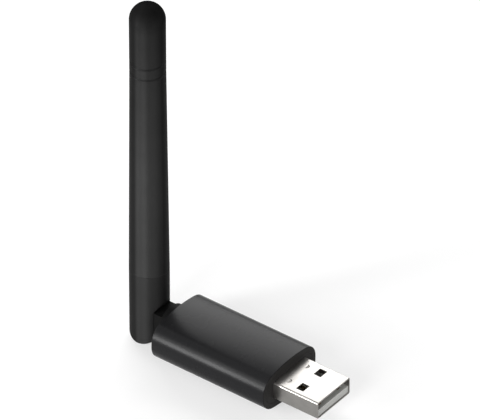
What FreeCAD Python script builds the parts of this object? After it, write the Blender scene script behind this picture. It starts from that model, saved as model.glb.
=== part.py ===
# USB radio stick with an antenna that swivels on a collar and folds on a trunnion hinge.
# Frame: origin at the centre of the plug on the housing's front face, +X out of the plug,
# +Z up along the raised antenna, millimetres.
import FreeCAD, Part
import math
import os

# Housing: a moulded sleeve with a closed rear wall
BODY_LEN = 31.6
BODY_W = 19.4
BODY_H = 10.6
BODY_DROP = 0.08
CORNER_R = 4.3
CROWN_R = 32.0
REAR_EDGE_R = 0.25
FRONT_EDGE_R = 0.12
WALL = 1.3
REAR_WALL = 1.6

# Board rails inside the sleeve
RAIL_T = 0.8
RAIL_GRIP = 0.7
RAIL_GAP = 0.05
RAIL_CLEAR = 1.6

# Front cap with two snap arms and two ribs that hold the plug
CAP_T = 1.6
CAP_GAP = 0.05
ARM_LEN = 5.4
ARM_T = 0.85
ARM_H = 2.2
ARM_Z = 0.5
ARM_SIDE_GAP = 0.35
BARB_LEN = 1.7
BARB_GRIP = 0.25
BARB_GAP = 0.12
RIB_LEN = 3.4
RIB_T = 0.9
RIB_W = 8.0

# Plug shell, rolled from strip
PLUG_LEN = 12.3
PLUG_W = 12.0
PLUG_H = 4.5
SHELL_T = 0.3
SHELL_BEND_R = 0.5
SHELL_TIP_R = 0.1
SHELL_IN = 6.0
PLUG_GAP = 0.05
WINDOW_FROM_TIP = 5.16
WINDOW_LEN = 2.0
WINDOW_W = 2.5
WINDOW_Y = 2.0
LANCE_W = 1.4
LANCE_LEN = 0.8
LANCE_SLIT = 0.12
LANCE_DIP = 0.3
LANCE_FROM_TIP = 10.1
LANCE_GAP = 0.02
SEAM_SLIT = 0.08
SEAM_KEY = 0.9
SEAM_FLARE = 1.4
WING_LEN = 2.6
WING_EDGE = 0.25
WING_FRONT = 2.6
LEG_LEN = 1.0
LEG_REACH = 0.25
LEG_GAP = 0.05

# Insulator and contacts
INSERT_GAP = 0.03
TONGUE_TOP = -0.1
TONGUE_SET_BACK = 0.25
CONTACT_W = 1.0
CONTACT_T = 0.25
CONTACT_PROUD = 0.06
CONTACT_GAP = 0.02
CONTACT_OUTER_Y = 3.5
CONTACT_INNER_Y = 1.0
CONTACT_OUTER_BACK = 1.3
CONTACT_INNER_BACK = 2.3
CONTACT_STEP = 0.9
CONTACT_FOOT = 1.2

# Circuit board
BOARD_T = 1.0
BOARD_SIDE_GAP = 0.08
BOARD_FRONT_GAP = 0.3
BOARD_REAR_GAP = 1.47
BOARD_CORNER_R = 0.6
NOTCH_GAP = 0.1

# Parts on the board: length along X, width along Y, height
BRIDGE_CHIP = (3.0, 3.0, 0.85)
RADIO_CHIP = (5.0, 5.0, 0.85)
CRYSTAL = (1.6, 2.0, 0.45)
REGULATOR = (1.6, 2.9, 1.1)
REGULATOR_LEAD = (0.6, 0.4, 0.15)
REGULATOR_PITCH = 0.95
CAPACITOR = (0.8, 1.6, 0.8)
RESISTOR = (1.6, 0.8, 0.45)
CHIP_CHAMFER = 0.1
CRYSTAL_CORNER_R = 0.25
CAN_LEN = 8.0
CAN_W = 11.0
CAN_H = 2.2
CAN_T = 0.2
CAN_SLIT = 0.3
SOLDER_GAP = 0.02

# Where they sit: rows along X, and steps from a row's middle or from the board's edge
PART_GAP = 0.5
EDGE_GAP = 0.6
RADIO_CHIP_Y = -1.6
CRYSTAL_Y = 2.6
FRONT_CAPACITORS = [(-1.1, 1.4), (0.0, 1.4), (1.1, 1.4)]
FRONT_RESISTORS = [(-0.4, -0.5), (-0.4, -1.7)]
REAR_CAPACITORS = [(0.0, 3.0), (0.0, 5.0), (0.0, -3.0)]
REAR_RESISTORS = [(0.0, -4.6)]

# Coaxial lead and its board connector
COAX_R = 0.565
LEAD_JOINT_GAP = 0.1
COAX_GAP = 0.06
SOCKET_SIDE = 2.6
SOCKET_BASE = 0.35
SOCKET_RING_R = 1.0
SOCKET_RING_H = 1.0
SOCKET_WALL = 0.15
SOCKET_PIN_R = 0.25
CLAMP_R = 1.4
CLAMP_ROOF = 0.25
CLAMP_WALL = 0.25
CRIMP_R = 0.85
CRIMP_LEN = 1.5
CRIMP_GAP = 0.5

# Swivel: height of its axis, collar, and hollow spigot through the rear wall
SWIVEL_Z = -0.4
COLLAR_R = 4.9
COLLAR_LEN = 1.85
COLLAR_GAP = 0.15
COLLAR_EDGE_R = 0.35
THRUST_GAP = 0.03
SPIGOT_R = 2.1
SPIGOT_FIT = 0.06
SPIGOT_BORE_R = 1.05
SPIGOT_TAIL = 0.7
SPIGOT_CHAMFER = 0.2
CLIP_DEPTH = 0.45
CLIP_RIM = 0.9
CLIP_T = 0.5
CLIP_MOUTH = 2.8
CLIP_FIT = 0.04
WASHER_RIM = 1.0
WASHER_T = 0.25
WASHER_DISH = 0.25

# Swivel stop: a lug on the collar in an arc groove of the rear wall
STOP_COVER = 0.4
STOP_W = 0.9
STOP_DEPTH = 0.8
STOP_GAP = 0.06
LUG_HALF_ANGLE = 12.0
SWIVEL_LIMIT = 90.0
STOP_SLACK = 1.0

# Fold hinge: a round-ended tongue between the two cheeks of the antenna base
HEEL_R = 5.7
HEEL_GAP = 0.2
TONGUE_R = 3.3
TONGUE_T = 5.9
TONGUE_SIDE_GAP = 0.08
TONGUE_END_GAP = 0.2
TRUNNION_R = 1.5
TRUNNION_FIT = 0.06
TRUNNION_CHAMFER = 0.2
SOCKET_SKIN = 0.4
SOCKET_END_GAP = 0.1
CHANNEL_W = 1.8
CHANNEL_AHEAD = 1.2
CHANNEL_FLOOR = 0.9

# Antenna base, radome and radiator, with heights from the fold axis
BARREL_R = 4.6
BASE_TOP = 13.4
HEEL_EDGE_R = 0.3
RELIEF_DEPTH = 1.15
RELIEF_RISE = 2.1
NECK_R = 3.35
NECK_LEN = 6.0
NECK_FIT = 0.03
NECK_END_GAP = 0.05
NECK_CHAMFER = 0.3
SEAM_GROOVE = 0.06
LEAD_BORE_R = 0.75
RADOME_TIP_R = 4.1
RADOME_TIP_STRAIGHT = 14.2
RADOME_WALL = 1.0
RING_GROOVES = (0.4, 3.25)
RING_GROOVE_W = 0.5
RING_GROOVE_D = 0.3
SLEEVE_R = 2.3
SLEEVE_T = 0.3
SLEEVE_LEN = 29.8
SLEEVE_SEAT = 0.8
SLEEVE_FIT = 0.05
WHIP_R = 0.45
WHIP_LEN = 29.0
WHIP_HEADROOM = 7.3
SPACER_T = 0.6
SPACER_HUB_R = 1.2
SPACER_HUB_LEN = 1.6
SPACER_FROM_TIP = 3.0
SPACER_FIT = 0.05
SPACER_HOLE_GAP = 0.02

# How far a cutter runs past what it cuts, on open sides and on sides that meet another cut,
# and how close two points count as one height or place
OVER = 1.0
NIP = 0.1
SAME = 1e-4

# Places and sizes that follow from the ones above
REAR_FACE = -BODY_LEN
REAR_INSIDE = REAR_FACE + REAR_WALL
COLLAR_BACK = REAR_FACE - COLLAR_GAP
COLLAR_FACE = COLLAR_BACK - COLLAR_LEN
FOLD_X = COLLAR_FACE - HEEL_GAP - HEEL_R
STOP_OUT_R = COLLAR_R - STOP_COVER
STOP_IN_R = STOP_OUT_R - STOP_W
BORE_R = SPIGOT_R + SPIGOT_FIT
CLIP_GROOVE_R = SPIGOT_R - CLIP_DEPTH
WASHER_FACE = REAR_INSIDE + THRUST_GAP
CLIP_BACK = WASHER_FACE + WASHER_T + WASHER_DISH
SPIGOT_END = CLIP_BACK + CLIP_T + SPIGOT_TAIL
SLOT_R = TONGUE_R + TONGUE_END_GAP
CHEEK_Y = TONGUE_T / 2 + TONGUE_SIDE_GAP
SOCKET_R = TRUNNION_R + TRUNNION_FIT
SOCKET_END = math.sqrt(BARREL_R ** 2 - SOCKET_R ** 2) - SOCKET_SKIN
SHELL_REAR = -SHELL_IN
FEET_END = SHELL_REAR - CONTACT_STEP - CONTACT_FOOT
BOARD_BOTTOM = -PLUG_H / 2
BOARD_TOP = BOARD_BOTTOM + BOARD_T
PARTS_Z = BOARD_TOP + SOLDER_GAP
BOARD_REAR = SPIGOT_END + BOARD_REAR_GAP
FRONT_ROW_X = FEET_END - PART_GAP - BRIDGE_CHIP[0] / 2
CAN_FRONT = FRONT_ROW_X - BRIDGE_CHIP[0] / 2 - PART_GAP
SOCKET_X = SPIGOT_END + CRIMP_GAP + CRIMP_LEN + CLAMP_R
CLAMP_TOP = COAX_R + CLAMP_ROOF
NECK_TOP = BASE_TOP + NECK_LEN
SLEEVE_TOP = NECK_TOP - SLEEVE_SEAT + SLEEVE_LEN
RADOME_TOP = SLEEVE_TOP + WHIP_LEN + WHIP_HEADROOM + RADOME_WALL
RADOME_BORE_R = RADOME_TIP_R - RADOME_WALL
DOME_Z = RADOME_TOP - RADOME_TIP_R
TAPER_END = DOME_Z - RADOME_TIP_STRAIGHT


def vec(x, y, z):
    return FreeCAD.Vector(x, y, z)


def box(x, y, z):
    """Box from three (low, high) pairs."""
    return Part.makeBox(x[1] - x[0], y[1] - y[0], z[1] - z[0], vec(x[0], y[0], z[0]))


def bar_x(radius, x0, x1, y=0.0, z=0.0):
    return Part.makeCylinder(radius, x1 - x0, vec(x0, y, z), vec(1, 0, 0))


def bar_y(radius, y0, y1, x=0.0, z=0.0):
    return Part.makeCylinder(radius, y1 - y0, vec(x, y0, z), vec(0, 1, 0))


def bar_z(radius, z0, z1, x=0.0, y=0.0):
    return Part.makeCylinder(radius, z1 - z0, vec(x, y, z0), vec(0, 0, 1))


def polygon(points):
    return Part.Face(Part.makePolygon(points + [points[0]]))


def slab_y(points, y0, y1):
    """Plate with an outline of (x, z) points, between two Y planes."""
    return polygon([vec(x, y0, z) for x, z in points]).extrude(vec(0, y1 - y0, 0))


def slab_z(points, z0, z1):
    """Plate with an outline of (x, y) points, between two Z planes."""
    return polygon([vec(x, y, z0) for x, y in points]).extrude(vec(0, 0, z1 - z0))


def turned_z(points, x=0.0):
    """Ring or disc turned about the vertical line at x, from (radius, z) points."""
    return polygon([vec(x + r, 0, z) for r, z in points]).revolve(vec(x, 0, 0), vec(0, 0, 1), 360)


def turned_x(points):
    """Ring or disc turned about the X axis, from (x, radius) points."""
    return polygon([vec(x, 0, r) for x, r in points]).revolve(vec(0, 0, 0), vec(1, 0, 0), 360)


def edges_on(shape, where):
    """Edges whose ends and middle all satisfy a test."""
    found = []
    for edge in shape.Edges:
        middle = edge.valueAt((edge.FirstParameter + edge.LastParameter) / 2)
        if all(where(p) for p in [v.Point for v in edge.Vertexes] + [middle]):
            found.append(edge)
    return found


def at_x(x):
    return lambda p: abs(p.x - x) < SAME


def mirror_y(shape):
    return shape.mirror(vec(0, 0, 0), vec(0, 1, 0))


def both_sides(shape):
    return [shape, mirror_y(shape)]


def housing_outline(inset, x):
    """Housing section at x, moved in by inset: round corners tangent to a crowned top and bottom."""
    half_w = BODY_W / 2 - inset
    half_h = BODY_H / 2 - inset
    corner = CORNER_R - inset
    crown = CROWN_R - inset
    corner_y = half_w - corner
    rise = math.sqrt((crown - corner) ** 2 - corner_y ** 2)
    corner_z = half_h - crown + rise
    lean = math.atan2(rise, corner_y)
    join_y = corner_y + corner * math.cos(lean)
    join_z = corner_z + corner * math.sin(lean)
    mid_y = corner_y + corner * math.cos(lean / 2)
    mid_z = corner_z + corner * math.sin(lean / 2)

    def at(y, z):
        return vec(x, y, z - BODY_DROP)

    edges = []
    for up in (1, -1):
        ends = [at(-join_y, up * join_z), at(0, up * half_h), at(join_y, up * join_z)]
        edges.append(Part.Arc(*ends).toShape())
        for side in (1, -1):
            corner_arc = Part.Arc(at(side * join_y, up * join_z), at(side * mid_y, up * mid_z),
                                  at(side * half_w, up * corner_z))
            edges.append(corner_arc.toShape())
    for side in (1, -1):
        edges.append(Part.LineSegment(at(side * half_w, corner_z), at(side * half_w, -corner_z)).toShape())
    return Part.Wire(Part.sortEdges(edges)[0])


def housing_half_width(inset, z):
    """Half width of the housing's section at height z, moved in by inset."""
    corner = CORNER_R - inset
    corner_y = BODY_W / 2 - CORNER_R
    rise = math.sqrt((CROWN_R - CORNER_R) ** 2 - corner_y ** 2)
    beyond = max(0.0, abs(z + BODY_DROP) - (BODY_H / 2 - CROWN_R + rise))
    return corner_y + math.sqrt(corner ** 2 - beyond ** 2)


def housing_block(inset, x0, x1):
    return Part.Face(housing_outline(inset, x0)).extrude(vec(x1 - x0, 0, 0))


def round_bar(width, height, radius, x0, x1):
    """Bar along X with a rounded rectangular section."""
    bar = box((x0, x1), (-width / 2, width / 2), (-height / 2, height / 2))
    long_edges = [e for e in bar.Edges if abs(e.Vertexes[0].X - e.Vertexes[1].X) > SAME]
    return bar.makeFillet(radius, long_edges)


def sector_x(r_in, r_out, x0, x1, half_angle):
    """Part of a ring about the X axis, centred on +Z."""
    face = polygon([vec(x0, 0, r_in), vec(x0, 0, r_out), vec(x1, 0, r_out), vec(x1, 0, r_in)])
    face.rotate(vec(0, 0, 0), vec(1, 0, 0), -half_angle)
    return face.revolve(vec(0, 0, 0), vec(1, 0, 0), 2 * half_angle)


def on_swivel(shape):
    """Moves what is drawn about the X axis to the swivel's own axis."""
    shape.translate(vec(0, 0, SWIVEL_Z))
    return shape


def board_half_width():
    return housing_half_width(WALL, BOARD_BOTTOM) - BOARD_SIDE_GAP


def board_rails():
    """Two ribs on each side wall that hold the board's edges between them."""
    rails = []
    inner = board_half_width() - RAIL_GRIP
    front = -CAP_T - ARM_LEN - RAIL_CLEAR
    for low in (BOARD_TOP + RAIL_GAP, BOARD_BOTTOM - RAIL_GAP - RAIL_T):
        rail = box((REAR_INSIDE - WALL / 2, front), (inner, BODY_W / 2), (low, low + RAIL_T))
        rails += both_sides(rail)
    core = housing_block(WALL / 2, REAR_INSIDE - WALL / 2, front)
    return [rail.common(core) for rail in rails]


def barb_outline(grow):
    """Snap barb in plan, grown by a clearance for its pocket."""
    root = BODY_W / 2 - WALL - ARM_SIDE_GAP
    tip = BODY_W / 2 - WALL + BARB_GRIP
    end = -CAP_T - ARM_LEN
    return [
        (end - grow, root),
        (end + BARB_LEN / 2 - grow, tip + grow),
        (end + BARB_LEN + grow, tip + grow),
        (end + BARB_LEN + grow, root),
    ]


def housing_sleeve():
    block = housing_block(0, 0, REAR_FACE)
    block = block.makeFillet(REAR_EDGE_R, edges_on(block, at_x(REAR_FACE)))
    block = block.makeFillet(FRONT_EDGE_R, edges_on(block, at_x(0)))
    sleeve = block.cut(housing_block(WALL, OVER, REAR_INSIDE))
    sleeve = sleeve.fuse(board_rails())
    bore = bar_x(BORE_R, REAR_FACE - OVER, REAR_INSIDE + OVER)
    stop_angle = SWIVEL_LIMIT + LUG_HALF_ANGLE + STOP_SLACK
    stop_groove = sector_x(STOP_IN_R, STOP_OUT_R, REAR_FACE - OVER, REAR_FACE + STOP_DEPTH, stop_angle)
    sleeve = sleeve.cut([on_swivel(bore), on_swivel(stop_groove)])
    low = ARM_Z - ARM_H / 2 - BARB_GAP
    high = ARM_Z + ARM_H / 2 + BARB_GAP
    pocket = slab_z(barb_outline(BARB_GAP), low, high)
    return sleeve.cut(both_sides(pocket)).removeSplitter()


def front_cap():
    plate = housing_block(WALL + CAP_GAP, 0, -CAP_T)
    root = BODY_W / 2 - WALL - ARM_SIDE_GAP
    span = (ARM_Z - ARM_H / 2, ARM_Z + ARM_H / 2)
    arm = box((-CAP_T - ARM_LEN, -CAP_T), (root - ARM_T, root), span)
    barb = slab_z(barb_outline(0), *span)
    ribs = []
    for side in (1, -1):
        near = side * (PLUG_H / 2 + PLUG_GAP)
        far = near + side * RIB_T
        rib = box((-CAP_T - RIB_LEN, -CAP_T), (-RIB_W / 2, RIB_W / 2), sorted((near, far)))
        ribs.append(rib)
    cap = plate.fuse(both_sides(arm.fuse(barb)) + ribs)
    hole = round_bar(PLUG_W + 2 * PLUG_GAP, PLUG_H + 2 * PLUG_GAP, SHELL_BEND_R + PLUG_GAP,
                     -CAP_T - OVER, OVER)
    return cap.cut(hole).removeSplitter()


def lance(x):
    """Slit around a half-moon tab in the shell's top, and the tab bent down inside it."""
    top = PLUG_H / 2
    y = WINDOW_Y + WINDOW_W / 2
    arc_mid = vec(x + LANCE_LEN, y, 0)

    def moon(shrink, z):
        half = LANCE_W / 2 - shrink
        root = x
        ends = [vec(root, y - half, z), vec(root, y + half, z)]
        arc = Part.Arc(ends[0], vec(arc_mid.x - shrink, y, z), ends[1]).toShape()
        line = Part.LineSegment(ends[1], ends[0]).toShape()
        return Part.Face(Part.Wire([arc, line]))

    cutter = moon(0, top - SHELL_T - OVER).extrude(vec(0, 0, SHELL_T + 2 * OVER))
    tab = moon(LANCE_SLIT, top - SHELL_T).extrude(vec(0, 0, SHELL_T))
    root_line = vec(x, 0, top)
    tab.rotate(root_line, vec(0, 1, 0), math.degrees(math.atan2(LANCE_DIP, LANCE_LEN)))
    root = box((x - SHELL_T, x + SHELL_T / 2), (y - LANCE_W / 2 + LANCE_SLIT, y + LANCE_W / 2 - LANCE_SLIT),
               (top - SHELL_T, top))
    return cutter, tab.fuse(root)


def line_cut(points, half, z0, z1):
    """Narrow upright cuts along a line of (x, y) points."""
    cuts = []
    for (xa, ya), (xb, yb) in zip(points, points[1:]):
        run = math.hypot(xb - xa, yb - ya) / half
        ux, uy = (xb - xa) / run, (yb - ya) / run
        cuts.append(slab_z([(xa - ux - uy, ya - uy + ux), (xb + ux - uy, yb + uy + ux),
                            (xb + ux + uy, yb + uy - ux), (xa - ux + uy, ya - uy - ux)], z0, z1))
    return cuts


def shell_seam():
    """Dovetailed seam where the strip's two ends meet under the plug."""
    middle = (SHELL_REAR + PLUG_LEN) / 2
    key = SEAM_KEY
    line = [(SHELL_REAR - OVER, 0), (middle - key, 0), (middle - SEAM_FLARE * key, key),
            (middle + SEAM_FLARE * key, key), (middle + key, 0), (PLUG_LEN + OVER, 0)]
    return line_cut(line, SEAM_SLIT / 2, -PLUG_H / 2 - OVER, -PLUG_H / 2 + SHELL_T + NIP)


def wing_end():
    return board_half_width() - WING_EDGE


def solder_wing():
    """Flat tab on the board's ear, with a leg down through it."""
    x = (-WING_FRONT - WING_LEN, -WING_FRONT)
    middle = -WING_FRONT - WING_LEN / 2
    wing = box(x, (PLUG_W / 2 - SHELL_T, wing_end()), (BOARD_TOP, BOARD_TOP + SHELL_T))
    leg = box((middle - LEG_LEN / 2, middle + LEG_LEN / 2), (wing_end() - SHELL_T, wing_end()),
              (BOARD_BOTTOM - LEG_REACH, BOARD_TOP + SHELL_T))
    return wing.fuse(leg)


def usb_shell():
    shell = round_bar(PLUG_W, PLUG_H, SHELL_BEND_R, SHELL_REAR, PLUG_LEN)
    shell = shell.makeFillet(SHELL_TIP_R, edges_on(shell, at_x(PLUG_LEN)))
    inside = round_bar(PLUG_W - 2 * SHELL_T, PLUG_H - 2 * SHELL_T, SHELL_BEND_R - SHELL_T, SHELL_REAR - OVER,
                       PLUG_LEN + OVER)
    shell = shell.cut(inside)
    front = PLUG_LEN - WINDOW_FROM_TIP
    window = box((front - WINDOW_LEN, front), (WINDOW_Y, WINDOW_Y + WINDOW_W), (-PLUG_H, PLUG_H))
    shell = shell.cut(both_sides(window))
    cutter, tab = lance(PLUG_LEN - LANCE_FROM_TIP)
    shell = shell.cut(both_sides(cutter)).fuse(both_sides(tab))
    shell = shell.cut(shell_seam())
    return shell.fuse(both_sides(solder_wing())).removeSplitter()


def contact_outline(back, grow):
    """Side view of a contact: a blade along the tongue, a step down and a foot on the board."""
    top = TONGUE_TOP + CONTACT_PROUD
    low = top - CONTACT_T
    tip = PLUG_LEN - back
    step = SHELL_REAR - CONTACT_STEP
    foot_top = PARTS_Z + CONTACT_T
    return [
        (tip + grow, low - grow), (tip + grow, top + grow), (step - CONTACT_T, top + grow),
        (step - CONTACT_T, foot_top), (FEET_END, foot_top),
        (FEET_END, foot_top - CONTACT_T), (step, foot_top - CONTACT_T), (step, low - grow),
    ]


CONTACTS = {
    "usb_contact_power": (-CONTACT_OUTER_Y, CONTACT_OUTER_BACK),
    "usb_contact_data_minus": (-CONTACT_INNER_Y, CONTACT_INNER_BACK),
    "usb_contact_data_plus": (CONTACT_INNER_Y, CONTACT_INNER_BACK),
    "usb_contact_ground": (CONTACT_OUTER_Y, CONTACT_OUTER_BACK),
}


def usb_contact(y, back):
    return slab_y(contact_outline(back, 0), y - CONTACT_W / 2, y + CONTACT_W / 2)


def usb_insulator():
    """Block in the shell behind the lances, with the tongue that carries the contacts."""
    inset = SHELL_T + INSERT_GAP
    block_front = PLUG_LEN - LANCE_FROM_TIP - SHELL_T - LANCE_GAP
    insulator = round_bar(PLUG_W - 2 * inset, PLUG_H - 2 * inset, SHELL_BEND_R - SHELL_T, SHELL_REAR,
                          PLUG_LEN - TONGUE_SET_BACK)
    insulator = insulator.cut(box((block_front, PLUG_LEN), (-PLUG_W, PLUG_W), (TONGUE_TOP, PLUG_H)))
    grooves = []
    for y, back in CONTACTS.values():
        half = CONTACT_W / 2 + CONTACT_GAP
        grooves.append(slab_y(contact_outline(back, CONTACT_GAP), y - half, y + half))
    return insulator.cut(grooves).removeSplitter()


def circuit_board():
    """Board with ears either side of the plug shell, slotted for the shell's legs."""
    half_w = board_half_width()
    board = box((BOARD_REAR, -CAP_T - BOARD_FRONT_GAP), (-half_w, half_w), (BOARD_BOTTOM, BOARD_TOP))
    upright = [e for e in board.Edges if abs(e.Vertexes[0].Z - e.Vertexes[1].Z) > NIP]
    board = board.makeFillet(BOARD_CORNER_R, upright)
    notch_half = PLUG_W / 2 + NOTCH_GAP
    notch = box((SHELL_REAR - NOTCH_GAP, OVER), (-notch_half, notch_half), (-PLUG_H, PLUG_H))
    middle = -WING_FRONT - WING_LEN / 2
    slot = box((middle - LEG_LEN / 2 - LEG_GAP, middle + LEG_LEN / 2 + LEG_GAP),
               (wing_end() - SHELL_T - LEG_GAP, wing_end() + LEG_GAP), (-PLUG_H, PLUG_H))
    return board.cut([notch] + both_sides(slot))


def part_edge(size):
    """How far out a part of this size can sit beside the board's rails."""
    return board_half_width() - RAIL_GRIP - EDGE_GAP - size[1] / 2


def chip(size, x, y):
    """Block of (length, width, height) soldered to the board with its centre at x, y."""
    length, width, height = size
    return box((x - length / 2, x + length / 2), (y - width / 2, y + width / 2), (PARTS_Z, PARTS_Z + height))


def top_edges(block, size):
    return edges_on(block, lambda p: p.z > PARTS_Z + size[2] / 2)


def bridge_chip():
    block = chip(BRIDGE_CHIP, FRONT_ROW_X, -part_edge(BRIDGE_CHIP))
    return block.makeChamfer(CHIP_CHAMFER, top_edges(block, BRIDGE_CHIP))


def radio_chip():
    block = chip(RADIO_CHIP, CAN_FRONT - CAN_LEN / 2, RADIO_CHIP_Y)
    return block.makeChamfer(CHIP_CHAMFER, top_edges(block, RADIO_CHIP))


def radio_crystal():
    block = chip(CRYSTAL, CAN_FRONT - CAN_LEN / 2, CRYSTAL_Y)
    upright = [e for e in block.Edges if abs(e.Vertexes[0].Z - e.Vertexes[1].Z) > NIP]
    return block.makeFillet(CRYSTAL_CORNER_R, upright)


def voltage_regulator():
    """Small block on five leads."""
    length, width, height = REGULATOR
    reach, lead_w, lead_t = REGULATOR_LEAD
    x = FRONT_ROW_X
    y = part_edge(REGULATOR)
    body = box((x - length / 2, x + length / 2), (y - width / 2, y + width / 2),
               (PARTS_Z + lead_t / 2, PARTS_Z + height))
    leads = []
    pitch = REGULATOR_PITCH
    for side, steps in ((1, (-pitch, pitch)), (-1, (-pitch, 0, pitch))):
        near = x + side * (length / 2 - NIP)
        far = x + side * (length / 2 + reach)
        for step in steps:
            leads.append(box(sorted((near, far)), (y + step - lead_w / 2, y + step + lead_w / 2),
                             (PARTS_Z, PARTS_Z + lead_t)))
    return body.fuse(leads)


def chip_row(size, front_steps, rear_steps):
    """Like parts at steps from the middle of the front row and of the coaxial socket."""
    places = [(FRONT_ROW_X + dx, dy) for dx, dy in front_steps]
    places += [(SOCKET_X + dx, dy) for dx, dy in rear_steps]
    return Part.makeCompound([chip(size, x, y) for x, y in places])


def shield_can():
    """Folded cover over the radio, open below, with a slit down each corner."""
    half = CAN_W / 2
    rear = CAN_FRONT - CAN_LEN
    roof = PARTS_Z + CAN_H - CAN_T
    can = box((rear, CAN_FRONT), (-half, half), (PARTS_Z, PARTS_Z + CAN_H))
    inside = box((rear + CAN_T, CAN_FRONT - CAN_T), (-half + CAN_T, half - CAN_T), (PARTS_Z - OVER, roof))
    slits = []
    for x in (rear, CAN_FRONT):
        for y in (-half, half):
            slits.append(box((x - CAN_SLIT, x + CAN_SLIT), (y - CAN_SLIT, y + CAN_SLIT),
                             (PARTS_Z - OVER, roof)))
    return can.cut([inside] + slits)


def coax_socket():
    half = SOCKET_SIDE / 2
    base_top = PARTS_Z + SOCKET_BASE
    top = base_top + SOCKET_RING_H
    base = box((SOCKET_X - half, SOCKET_X + half), (-half, half), (PARTS_Z, base_top))
    ring = bar_z(SOCKET_RING_R, PARTS_Z, top, SOCKET_X)
    ring = ring.cut(bar_z(SOCKET_RING_R - SOCKET_WALL, base_top, top + OVER, SOCKET_X))
    pin = bar_z(SOCKET_PIN_R, PARTS_Z, top - SOCKET_WALL, SOCKET_X)
    return base.fuse([ring, pin])


def coax_plug():
    """Round clamp over the socket's ring, with a crimp barrel round the lead."""
    low = PARTS_Z + SOCKET_BASE + SOLDER_GAP
    rear = SOCKET_X - CLAMP_R - CRIMP_LEN
    cup = bar_z(CLAMP_R, low, CLAMP_TOP, SOCKET_X)
    barrel = bar_x(CRIMP_R, rear, SOCKET_X)
    cavity = bar_z(SOCKET_RING_R + SOLDER_GAP, low - OVER, low + SOCKET_RING_H, SOCKET_X)
    bore = bar_x(COAX_R + SOLDER_GAP, rear - OVER, SOCKET_X - CLAMP_R + CLAMP_WALL)
    return cup.fuse(barrel).cut([cavity, bore])


def coax_lead():
    """Lead from the board plug, sloping through the swivel to a round end on the fold axis."""
    start = SOCKET_X - CLAMP_R + CLAMP_WALL
    bend = vec(SOCKET_X - CLAMP_R - CRIMP_LEN, 0, 0)
    end = vec(FOLD_X, 0, SWIVEL_Z)
    slope = Part.makeCylinder(COAX_R, (end - bend).Length, bend, end - bend)
    rounds = [Part.makeSphere(COAX_R, point) for point in (bend, end)]
    return bar_x(COAX_R, bend.x, start).fuse([slope] + rounds)


def antenna_lead():
    """Lead from the fold axis up through the base to the whip."""
    return bar_z(COAX_R, COAX_R + LEAD_JOINT_GAP, SLEEVE_TOP, FOLD_X)


def swivel_collar():
    """Collar, hollow spigot and stop lug on one side, round-ended tongue with trunnions on the other."""
    disc = bar_x(COLLAR_R, COLLAR_FACE, COLLAR_BACK)
    disc = disc.makeFillet(COLLAR_EDGE_R, edges_on(disc, at_x(COLLAR_FACE)))
    shoulder_r = STOP_IN_R - STOP_GAP
    groove = (CLIP_BACK - CLIP_FIT, CLIP_BACK + CLIP_T + CLIP_FIT)
    spigot = turned_x([
        (COLLAR_BACK, 0), (COLLAR_BACK, shoulder_r),
        (REAR_FACE - THRUST_GAP, shoulder_r), (REAR_FACE - THRUST_GAP, SPIGOT_R),
        (groove[0], SPIGOT_R), (groove[0], CLIP_GROOVE_R),
        (groove[1], CLIP_GROOVE_R), (groove[1], SPIGOT_R),
        (SPIGOT_END - SPIGOT_CHAMFER, SPIGOT_R), (SPIGOT_END, SPIGOT_R - SPIGOT_CHAMFER),
        (SPIGOT_END, 0),
    ])
    lug_end = REAR_FACE + STOP_DEPTH - STOP_GAP
    lug = sector_x(STOP_IN_R + STOP_GAP, STOP_OUT_R - STOP_GAP, COLLAR_BACK, lug_end, LUG_HALF_ANGLE)
    half = TONGUE_T / 2
    neck = box((FOLD_X, COLLAR_FACE + COLLAR_LEN / 2), (-half, half), (-TONGUE_R, TONGUE_R))
    eye = bar_y(TONGUE_R, -half, half, FOLD_X)
    reach = SOCKET_END - SOCKET_END_GAP
    trunnions = bar_y(TRUNNION_R, -reach, reach, FOLD_X)
    trunnions = trunnions.makeChamfer(TRUNNION_CHAMFER, edges_on(trunnions, lambda p: abs(p.y) > half))
    collar = disc.fuse([spigot, lug, neck, eye, trunnions])
    bore = bar_x(SPIGOT_BORE_R, FOLD_X, SPIGOT_END + OVER)
    channel = box((FOLD_X - HEEL_R, FOLD_X + CHANNEL_AHEAD), (-CHANNEL_W / 2, CHANNEL_W / 2),
                  (-CHANNEL_FLOOR, TONGUE_R + OVER))
    return collar.cut([bore, channel]).removeSplitter()


def spring_washer():
    """Dished washer between the rear wall and the clip, which gives the swivel its friction."""
    rim = SPIGOT_R + WASHER_RIM
    return turned_x([
        (WASHER_FACE, rim), (WASHER_FACE + WASHER_T, rim),
        (WASHER_FACE + WASHER_T + WASHER_DISH, BORE_R), (WASHER_FACE + WASHER_DISH, BORE_R),
    ])


def retaining_clip():
    """Open ring in the spigot's groove."""
    rim = SPIGOT_R + CLIP_RIM
    x = (CLIP_BACK - OVER, CLIP_BACK + CLIP_T + OVER)
    ring = bar_x(rim, CLIP_BACK, CLIP_BACK + CLIP_T).cut(bar_x(CLIP_GROOVE_R + CLIP_FIT, *x))
    return ring.cut(box(x, (0, rim + OVER), (-CLIP_MOUTH / 2, CLIP_MOUTH / 2)))


def tongue_slot():
    """Room for the tongue: open to the body and below, round behind and above the fold axis."""
    far = FOLD_X + BARREL_R + OVER
    below = box((FOLD_X - SLOT_R, far), (-CHEEK_Y, CHEEK_Y), (-HEEL_R - 2 * OVER, 0))
    ahead = box((FOLD_X, far), (-CHEEK_Y, CHEEK_Y), (-OVER, SLOT_R))
    eye = bar_y(SLOT_R, -CHEEK_Y, CHEEK_Y, FOLD_X)
    return below.fuse([ahead, eye]).removeSplitter()


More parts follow.
